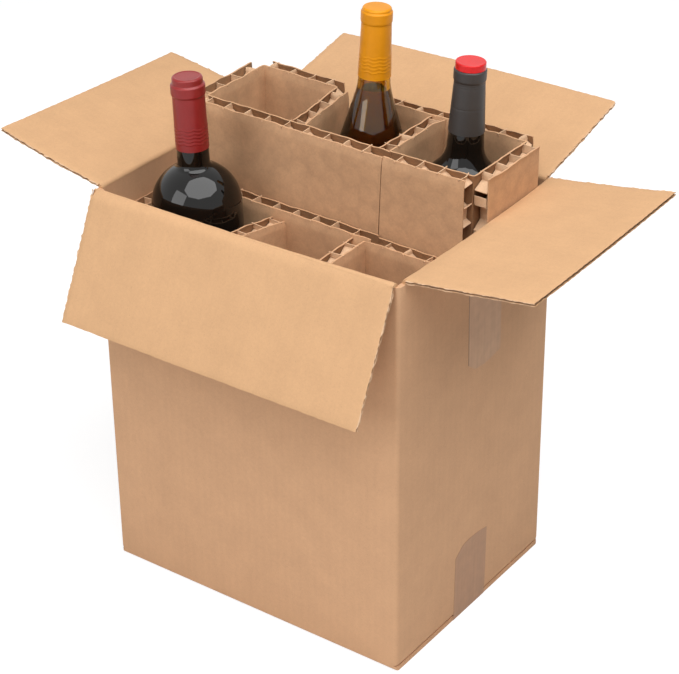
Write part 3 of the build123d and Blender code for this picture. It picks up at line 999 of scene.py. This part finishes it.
honeycomb_paint = kraft("honeycomb_liner", honeycomb_colour, quilt=0.035, mottle=0.20, speck=0.16, lumps=75.0)
core_paint = kraft("honeycomb_core", core_colour, mottle=0.12, speck=0.16)
# Painted shade for the liners' faces inside the cells.
pocket_shade_paint = kraft("honeycomb_pockets", pocket_shade_colour, speck=0.16)
strips = []
for row, cells in (("front", front_cells), ("rear", rear_cells)):
    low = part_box(row + "_insert_left")[0] / MM
    mirrored = row == "front"
    seed = 20 if mirrored else 40
    strips.append(Strip(row + "_insert_left", cells[:2], low.y, low.z, False, mirrored, 0.0, seed))
    short = 0.0 if mirrored else short_end
    strips.append(Strip(row + "_insert_right", cells[:0:-1], low.y, low.z, True, mirrored, short, seed + 7))
for strip in strips:
    chance = random.Random(strip.seed)
    strip_shell = Shell()
    liner_sheet(strip_shell, strip, strip.inner_path(), 1, strip.seed, core, flare=end_flare)
    for index, (path, turn, leans) in enumerate(outer_paths(strip)):
        liner_sheet(strip_shell, strip, path, turn, strip.seed + index + 1, 0.0, leans=leans)
    for panel in strip.panels():
        cell_walls(strip_shell, strip, panel, chance)
    strip_shell.piece(strip.name + "_board", "carton",
                      [honeycomb_paint, core_paint, pocket_shade_paint], [strip.name], sharp=50.0)

# Red-capped bottle
# A dark glass bottle with a straight body, a round shoulder and a long neck, filled and corked, under a matt
# red capsule shrunk over its lip. It leans against the side of its cell.

foil = 0.4
foil_gap = 0.1
ring_height = 8.4
glass_segments = 128
foil_segments = 176
line_low = 6.0
line_pitch = 3.0
line_count = 5
line_height = 0.24
zigzag = 1.3
zigzag_count = 9
dark_glass_colour = (0.004, 0.0035, 0.003)
red_foil_colour = (0.245, 0.014, 0.013)


class Bottle:
    """One bottle's sizes in millimetres: where it stands, its body, and the ring and lip under its capsule."""

    def __init__(self, foot, top, radius, height, capsule_low, neck_foot, shoulder, arcs, narrow, ring, ring_drop,
                 lip, neck_radius=13.3):
        self.foot, self.top = Vector(foot), Vector(top)
        self.radius, self.height, self.capsule_low = radius, height, capsule_low
        self.neck_foot, self.shoulder, self.arcs, self.neck_radius = neck_foot, shoulder, arcs, neck_radius
        self.narrow, self.ring, self.lip = narrow, ring, lip
        self.ring_top = self.height - ring_drop
        self.ring_low = self.ring_top - ring_height

    def skin(self, grow):
        """Corners up the neck and over ring and lip to the middle of the top, grown outwards, with their arcs."""
        share = (self.capsule_low - self.neck_foot) / (self.ring_low - self.neck_foot)
        low_radius = self.neck_radius + (self.narrow - self.neck_radius) * share
        return [
            (low_radius + grow, self.capsule_low, 0),
            (self.narrow + grow, self.ring_low - 1.0, 2.0 - grow),
            (self.ring + grow, self.ring_low + 0.5, 1.5 + grow),
            (self.ring + grow, self.ring_top - 0.4 + 0.4 * grow, 0.6 + grow),
            (self.lip + grow, self.ring_top + 0.9 + 0.4 * grow, 1.1 - grow),
            (self.lip + grow, self.height + grow, 1.4 + grow),
            (0, self.height + grow, 0),
        ]

    def glass(self):
        """Corners of the outside, from the hollow under the base to the middle of the mouth."""
        shoulder_arc, neck_arc = self.arcs
        return [
            (0, 18.0, 0), (19.0, 6.0, 14.0), (27.0, 0, 3.0), (self.radius, 0, 6.0),
            (self.radius, self.shoulder, shoulder_arc), (self.neck_radius, self.neck_foot, neck_arc),
        ] + self.skin(0)[1:]


def rounded(points):
    """An outline of (radius, height, arc) corners, with an arc at each corner that names one."""
    spots = [Vector((radius, 0, height)) for radius, height, _ in points]
    outline = []
    for index, (corner, (_, _, arc)) in enumerate(zip(spots, points)):
        if not arc:
            outline.append((corner.x, corner.z))
            continue
        back = (spots[index - 1] - corner).normalized()
        ahead = (spots[index + 1] - corner).normalized()
        half = back.angle(ahead) / 2
        centre = corner + (back + ahead).normalized() * arc / math.sin(half)
        start = corner + back * arc / math.tan(half) - centre
        end = corner + ahead * arc / math.tan(half) - centre
        count = max(3, math.ceil(start.angle(end) / math.radians(5)))
        for part in range(count + 1):
            spot = centre + start.slerp(end, part / count).normalized() * arc
            outline.append((spot.x, spot.z))
    return outline


def turned_piece(name, finish, replaced, bottle, outline, relief=None, segments=glass_segments):
    """One piece of a bottle: an outline turned about the line from the bottle's foot to its top."""
    shell = Shell()
    turn = Vector((0, 0, 1)).rotation_difference((bottle.top - bottle.foot).normalized())
    rings = []
    for radius, height in outline:
        ring = []
        for index in range(segments if radius > 0.001 else 1):
            angle = 2 * math.pi * index / segments
            out = radius + (relief(bottle, angle, height) if relief and radius > 10 else 0.0)
            point = turn @ Vector((out * math.cos(angle), out * math.sin(angle), height)) + bottle.foot
            ring.append(len(shell.corners))
            shell.corners.append(point * MM)
            shell.spots.append((radius * angle * MM, height * MM))
        rings.append(ring)
    for low, high in zip(rings, rings[1:]):
        for index in range(segments if len(low) + len(high) > 2 else 0):
            after = (index + 1) % segments
            if len(low) == 1:
                shell.face([low[0], high[after], high[index]], 0)
            elif len(high) == 1:
                shell.face([low[index], low[after], high[0]], 0)
            else:
                shell.face([low[index], low[after], high[after], high[index]], 0)
    shell.piece(name, "carton", [finish], [replaced], sharp=60.0)


def fine_band(outline, low, high, step):
    """Adds points to an outline's straight stretch, so that it can carry raised lines."""
    added = []
    for (radius, height), (next_radius, next_height) in zip(outline, outline[1:]):
        added.append((radius, height))
        if next_height - height > 5 * step and height < high and next_height > low:
            for climb in steps_between(height, next_height, step)[1:-1]:
                share = (climb - height) / (next_height - height)
                added.append((radius + (next_radius - radius) * share, climb))
    added.append(outline[-1])
    return added


def capsule_outline(bottle, rim=0.0):
    """Half section of a capsule: its skin goes up over neck, ring and lip, and comes back inside."""
    outer = bottle.skin(foil_gap + foil)
    if rim:
        top = outer[-1][1]
        outer[-1:] = [(bottle.lip - 1.6, top, 0.6), (bottle.lip - 2.4, top - rim, 0.4), (0, top - rim, 0)]
    skin = rounded(outer)
    return fine_band(skin, bottle.capsule_low, bottle.ring_low, 0.5) + rounded(bottle.skin(foil_gap))[::-1] + skin[:1]


def wavy_lines(bottle, angle, height):
    """Raised zigzag lines round the lower end of a capsule."""
    climb = height - bottle.capsule_low + zigzag * abs(math.sin(zigzag_count / 2 * angle))
    line = (climb - line_low) / line_pitch
    return line_height * max(0.0, -math.cos(2 * math.pi * line)) ** 1.5 if 0 < line < line_count else 0.0


def glass_finish(name, colour):
    """Dark glass over dark wine, with a crisp shine and faint ripples from the mould."""
    finish, tree, shader, place = new_finish(name, roughness=0.035, specular=0.38)
    mould = clouds(tree, place, scale=30.0, detail=2.0)
    lay_on(tree, shader, colour, ranged(tree, mould, 0.3, 0.7, 0.75, 1.25), mould, strength=0.06, distance=0.002)
    return finish


def foil_finish(name, colour, roughness, specular=0.4):
    """A shrunk capsule: matt film with a fine orange-peel skin."""
    finish, tree, shader, place = new_finish(name, roughness, specular)
    tone = ranged(tree, clouds(tree, place, scale=60.0, detail=3.0), 0.3, 0.7, 0.93, 1.07)
    peel = clouds(tree, place, scale=700.0, detail=3.0)
    lay_on(tree, shader, colour, tone, peel, strength=0.12, distance=0.0004)
    return finish


red = Bottle(foot=(-85.25, -50.98, 146.0), top=(-97.06, -50.98, 445.77), radius=37.25, height=301.0,
             capsule_low=240.5, neck_foot=224.6, shoulder=213.0, arcs=(36.0, 5.5),
             narrow=12.7, ring=13.6, ring_drop=6.2, lip=12.0)
dark_glass = glass_finish("dark_glass_and_wine", dark_glass_colour)
turned_piece("red_capped_bottle", dark_glass, "red_bottle", red, rounded(red.glass()))
turned_piece("red_foil_capsule", foil_finish("red_capsule_foil", red_foil_colour, 0.33, 0.38),
             "red_capsule", red, capsule_outline(red, rim=0.3), wavy_lines, foil_segments)

# Yellow-capped bottle
# A clear olive green bottle whose sides slope up into its neck. The wine stands to just under the capsule, which
# hides the cork.

glass_wall = 3.0
mouth_radius = 9.4
fill_height = 228.0
wet = 0.1
cork_length = 45.0
green_colour = (0.58, 0.38, 0.02)
wine_colour = (0.62, 0.45, 0.08)
cork_colour = (0.42, 0.25, 0.13)
yellow_foil_colour = (0.690, 0.262, 0.004)


def clear_finish(name, colour, ior, specular):
    """Clear tinted glass or liquid."""
    finish, tree, shader, place = new_finish(name, 0.0, specular)
    shader.inputs["Transmission Weight"].default_value = 1.0
    shader.inputs["IOR"].default_value = ior
    mould = clouds(tree, place, scale=30.0, detail=2.0)
    lay_on(tree, shader, colour, ranged(tree, mould, 0.3, 0.7, 0.94, 1.06))
    return finish


green = Bottle(foot=(1.07, 52.17, 196.4), top=(9.16, 60.99, 496.16), radius=35.5, height=296.3,
               capsule_low=238.3, neck_foot=228.6, shoulder=153.1, arcs=(60.0, 63.0),
               narrow=11.8, ring=12.4, ring_drop=3.1, lip=11.4)
bore, bore_foot = green.radius - glass_wall, 21.0
cavity = rounded([
    (0, bore_foot, 0), (bore, bore_foot, 6.0), (bore, green.shoulder - glass_wall, 60.0),
    (mouth_radius, green.neck_foot, 63.0), (mouth_radius, green.height, 0),
])
outside = rounded(green.glass()[:-1] + [(mouth_radius, green.height, 0)])
turned_piece("green_glass_bottle", clear_finish("green_glass", green_colour, 1.5, 0.15),
             "green_bottle_glass", green, outside + cavity[::-1][1:])

filled = [(radius + wet if radius else 0.0, height - wet) for radius, height in cavity if height < fill_height]
brim = max(radius for radius, height in cavity if height >= fill_height) + wet
turned_piece("white_wine", clear_finish("wine", wine_colour, 1.34, 0.05), "green_bottle_wine", green,
             filled + [(brim, fill_height), (0, fill_height)])

cork_low, cork_radius = green.height - cork_length, mouth_radius - foil_gap
cork_outline = [(0, cork_low), (cork_radius, cork_low), (cork_radius, green.height), (0, green.height)]
turned_piece("cork_stopper", kraft("cork_grain", cork_colour, mottle=0.3, speck=0.3),
             "green_bottle_cork", green, cork_outline, segments=48)
turned_piece("yellow_foil_capsule", foil_finish("yellow_capsule_foil", yellow_foil_colour, 0.36, 0.22),
             "yellow_capsule", green, capsule_outline(green), wavy_lines, foil_segments)

# Black-capped bottle
# A second dark bottle under a charcoal capsule with fine pressed rings. A glossy red disc closes the capsule and
# laps down over its lip.

disc_lap = 5.2
disc_stand = 0.25
disc_hollow = 0.25
ring_lines = (17.2, 19.0, 36.5)
ring_line_depth = 0.16
black_foil_colour = (0.033, 0.028, 0.026)
disc_colour = (0.640, 0.006, 0.007)


def fine_rings(bottle, angle, height):
    """A pair of fine pressed lines under the ring, and one half way down the capsule."""
    down = bottle.height - height
    return -ring_line_depth * sum(math.exp(-((down - line) / 0.4) ** 2) for line in ring_lines)


black = Bottle(foot=(89.2, 51.67, 167.8), top=(98.63, 59.91, 467.54), radius=35.0, height=299.8,
               capsule_low=241.8, neck_foot=219.0, shoulder=199.5, arcs=(28.0, 26.0),
               narrow=12.0, ring=12.7, ring_drop=6.0, lip=11.5, neck_radius=15.4)
turned_piece("black_capped_bottle", dark_glass, "black_bottle", black, rounded(black.glass()))
sleeve_top = black.height - disc_lap
sleeve = [corner for corner in capsule_outline(black) if corner[1] < sleeve_top]
turned_piece("black_foil_capsule", foil_finish("black_capsule_foil", black_foil_colour, 0.42),
             "black_capsule", black, sleeve, fine_rings)

disc_low, disc_top = sleeve_top + foil_gap, black.height + foil_gap + foil + disc_stand
disc_radius, disc_bore = black.lip + foil_gap + foil + disc_stand, black.lip + foil_gap
disc_outline = rounded([
    (disc_bore, disc_low, 0), (disc_radius + 0.1, disc_low, 0), (disc_radius, disc_low + 1.0, 0.4),
    (disc_radius, disc_top, 1.1), (disc_radius - 2.2, disc_top - disc_hollow, 0.5), (0, disc_top - disc_hollow, 0),
])
disc_outline += [(0, black.height + foil_gap), (disc_bore, black.height + foil_gap), (disc_bore, disc_low)]
turned_piece("red_disc", foil_finish("red_disc_gloss", disc_colour, 0.14, 0.28), "black_capsule_disc",
             black, disc_outline)

low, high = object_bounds()
